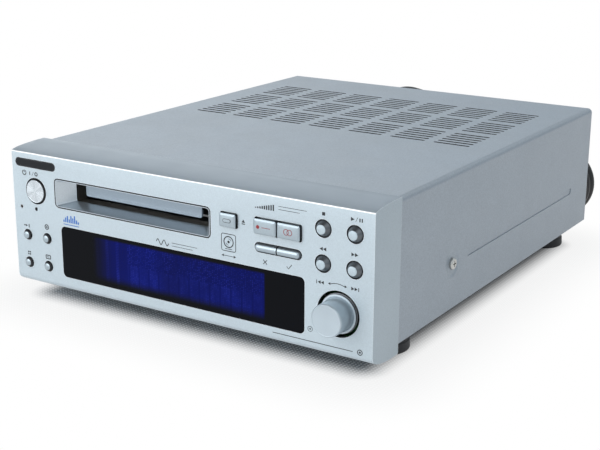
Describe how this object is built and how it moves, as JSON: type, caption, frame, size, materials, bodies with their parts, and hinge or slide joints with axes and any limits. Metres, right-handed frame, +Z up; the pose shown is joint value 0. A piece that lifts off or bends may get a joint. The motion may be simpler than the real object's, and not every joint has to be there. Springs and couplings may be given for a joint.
{
  "type": "minidisc deck",
  "caption": "Half-width hi-fi minidisc recorder with a front disc slot, display window, push keys and a jog dial.",
  "frame": {"origin": "on the floor under the feet, in the middle of the box from jog dial to phono jacks, cord left out", "axes": "+X to the right seen from the front, +Y from the front panel to the back, +Z up"},
  "size_m": [0.2058, 0.3469, 0.079],
  "materials": {
    "panel_silver": "satin, fine grain",
    "bezel_silver": "satin metallic lacquer",
    "door_silver": "satin metallic lacquer",
    "window_smoke": "polished, near black",
    "badge_dark": "gloss, bare",
    "spun_metal": "turned",
    "key_silver": "metallic lacquer",
    "lamp_red": "clear red lens",
    "ground_steel": "ground",
    "housing_black": "moulded",
    "sleeve_white": "moulded",
    "board_green": "solder mask",
    "tube_glass": "polished",
    "cover_paint": "fine textured paint",
    "zinc_sheet": "zinc plated",
    "rear_paint": "painted",
    "foot_black": "moulded",
    "screw_zinc": "bright zinc",
    "can_black": "shrink sleeve",
    "fin_aluminium": "extruded",
    "core_steel": "varnished laminations",
    "winding_tape": "tape",
    "cable_grey": "flat cable",
    "motor_steel": "drawn can",
    "cord_black": "satin moulded",
    "tie_black": "woven tape"
  },
  "bodies": {
    "casing": {"front_panel": "panel_silver", "slot_bezel": "bezel_silver", "display_window": "window_smoke", "badge_plate": "badge_dark", "standby_lamp": "lamp_red", "guide_rods": "ground_steel", "encoder_body": "housing_black", "tact_switches": "housing_black", "chips": "housing_black", "optical_sockets": "housing_black", "phono_jacks": "housing_black", "front_board": "board_green", "main_board": "board_green", "display_tube": "tube_glass", "top_cover": "cover_paint", "chassis_base": "zinc_sheet", "mech_base": "zinc_sheet", "mech_posts": "zinc_sheet", "rear_panel": "rear_paint", "feet": "foot_black", "case_screws": "screw_zinc", "board_screws": "screw_zinc", "capacitors": "can_black", "heat_sink": "fin_aluminium", "transformer_core": "core_steel", "transformer_coil": "winding_tape", "ribbon_cables": "cable_grey", "spindle_motor": "motor_steel", "sled_motor": "motor_steel", "loading_motor": "motor_steel", "strain_relief": "cord_black", "power_cord": "cord_black", "cord_hank": "cord_black", "power_plug": "cord_black", "cord_tie": "tie_black"},
    "power_button_body": {"power_button": "spun_metal"},
    "eject_button_body": {"eject_button": "key_silver"},
    "record_button_body": {"record_button": "key_silver"},
    "dubbing_button_body": {"dubbing_button": "key_silver"},
    "edit_button_body": {"edit_button": "key_silver"},
    "yes_button_body": {"yes_button": "key_silver"},
    "stop_button_body": {"stop_button": "key_silver"},
    "play_button_body": {"play_button": "key_silver"},
    "rewind_button_body": {"rewind_button": "key_silver"},
    "forward_button_body": {"forward_button": "key_silver"},
    "input_button_body": {"input_button": "key_silver"},
    "rec_mode_button_body": {"rec_mode_button": "key_silver"},
    "display_button_body": {"display_button": "key_silver"},
    "group_button_body": {"group_button": "key_silver"},
    "jog_sleeve": {"encoder_sleeve": "sleeve_white"},
    "jog_dial": {"jog_knob": "spun_metal", "jog_shaft": "ground_steel"},
    "door": {"slot_door": "door_silver"},
    "slider": {"loading_slider": "zinc_sheet"},
    "gear": {"loading_gear": "sleeve_white"},
    "holder": {"cartridge_holder": "zinc_sheet"},
    "spindle": {"turntable": "ground_steel"},
    "sled": {"pickup_sled": "sleeve_white"},
    "arm": {"head_arm": "ground_steel"},
    "screw": {"lead_screw": "ground_steel"}
  },
  "joints": [
    {"name": "power_press", "type": "slide", "parent": "casing", "child": "power_button_body", "axis": [0, 1, 0], "range_m": [0, 0.0008], "stiffness_N_per_m": 400, "springref_m": -0.002},
    {"name": "eject_press", "type": "slide", "parent": "casing", "child": "eject_button_body", "axis": [0, 1, 0], "range_m": [0, 0.0008], "stiffness_N_per_m": 400, "springref_m": -0.002},
    {"name": "record_press", "type": "slide", "parent": "casing", "child": "record_button_body", "axis": [0, 1, 0], "range_m": [0, 0.0008], "stiffness_N_per_m": 400, "springref_m": -0.002},
    {"name": "dubbing_press", "type": "slide", "parent": "casing", "child": "dubbing_button_body", "axis": [0, 1, 0], "range_m": [0, 0.0008], "stiffness_N_per_m": 400, "springref_m": -0.002},
    {"name": "edit_press", "type": "slide", "parent": "casing", "child": "edit_button_body", "axis": [0, 1, 0], "range_m": [0, 0.0008], "stiffness_N_per_m": 400, "springref_m": -0.002},
    {"name": "yes_press", "type": "slide", "parent": "casing", "child": "yes_button_body", "axis": [0, 1, 0], "range_m": [0, 0.0008], "stiffness_N_per_m": 400, "springref_m": -0.002},
    {"name": "stop_press", "type": "slide", "parent": "casing", "child": "stop_button_body", "axis": [0, 1, 0], "range_m": [0, 0.0008], "stiffness_N_per_m": 400, "springref_m": -0.002},
    {"name": "play_press", "type": "slide", "parent": "casing", "child": "play_button_body", "axis": [0, 1, 0], "range_m": [0, 0.0008], "stiffness_N_per_m": 400, "springref_m": -0.002},
    {"name": "rewind_press", "type": "slide", "parent": "casing", "child": "rewind_button_body", "axis": [0, 1, 0], "range_m": [0, 0.0008], "stiffness_N_per_m": 400, "springref_m": -0.002},
    {"name": "forward_press", "type": "slide", "parent": "casing", "child": "forward_button_body", "axis": [0, 1, 0], "range_m": [0, 0.0008], "stiffness_N_per_m": 400, "springref_m": -0.002},
    {"name": "input_press", "type": "slide", "parent": "casing", "child": "input_button_body", "axis": [0, 1, 0], "range_m": [0, 0.0008], "stiffness_N_per_m": 400, "springref_m": -0.002},
    {"name": "rec_mode_press", "type": "slide", "parent": "casing", "child": "rec_mode_button_body", "axis": [0, 1, 0], "range_m": [0, 0.0008], "stiffness_N_per_m": 400, "springref_m": -0.002},
    {"name": "display_press", "type": "slide", "parent": "casing", "child": "display_button_body", "axis": [0, 1, 0], "range_m": [0, 0.0008], "stiffness_N_per_m": 400, "springref_m": -0.002},
    {"name": "group_press", "type": "slide", "parent": "casing", "child": "group_button_body", "axis": [0, 1, 0], "range_m": [0, 0.0008], "stiffness_N_per_m": 400, "springref_m": -0.002},
    {"name": "jog_push", "type": "slide", "parent": "casing", "child": "jog_sleeve", "axis": [0, 1, 0], "range_m": [0, 0.0008], "stiffness_N_per_m": 600, "springref_m": -0.002},
    {"name": "jog_turn", "type": "hinge", "parent": "jog_sleeve", "child": "jog_dial", "pos_m": [0.08535, -0.126, 0.03], "axis": [0, 1, 0], "continuous": true},
    {"name": "slot_door_swing", "type": "hinge", "parent": "casing", "child": "door", "pos_m": [-0.02805, -0.116, 0.0656], "axis": [1, 0, 0], "range_deg": [0, 75], "stiffness_Nm_per_rad": 0.002, "springref_deg": -22.92},
    {"name": "loading_slide", "type": "slide", "parent": "casing", "child": "slider", "axis": [0, 1, 0], "range_m": [0, 0.012]},
    {"name": "loading_gear_turn", "type": "hinge", "parent": "casing", "child": "gear", "pos_m": [-0.02805, -0.042, 0.0446], "axis": [1, 0, 0], "range_deg": [-107.5, 0]},
    {"name": "holder_lower", "type": "slide", "parent": "casing", "child": "holder", "axis": [0, 0, -1], "range_m": [0, 0.00401]},
    {"name": "spindle_turn", "type": "hinge", "parent": "casing", "child": "spindle", "pos_m": [-0.02805, -0.07, 0.009], "axis": [0, 0, 1], "continuous": true},
    {"name": "sled_slide", "type": "slide", "parent": "casing", "child": "sled", "axis": [0, 1, 0], "range_m": [0, 0.014]},
    {"name": "lead_screw_turn", "type": "hinge", "parent": "casing", "child": "screw", "pos_m": [-0.05605, -0.126, 0.041], "axis": [0, 1, 0], "range_deg": [0, 1441]},
    {"name": "head_arm_swing", "type": "hinge", "parent": "sled", "child": "arm", "pos_m": [-0.02805, -0.0305, 0.0637], "axis": [1, 0, 0], "range_deg": [0, 15.1]}
  ],
  "couplings": [
    {"joint": "loading_gear_turn", "follows": "loading_slide", "rad_per_m": -156.25},
    {"joint": "holder_lower", "follows": "loading_slide", "ratio": 0.3333},
    {"joint": "head_arm_swing", "follows": "loading_slide", "rad_per_m": 21.817},
    {"joint": "lead_screw_turn", "follows": "sled_slide", "rad_per_m": 1795.2}
  ]
}
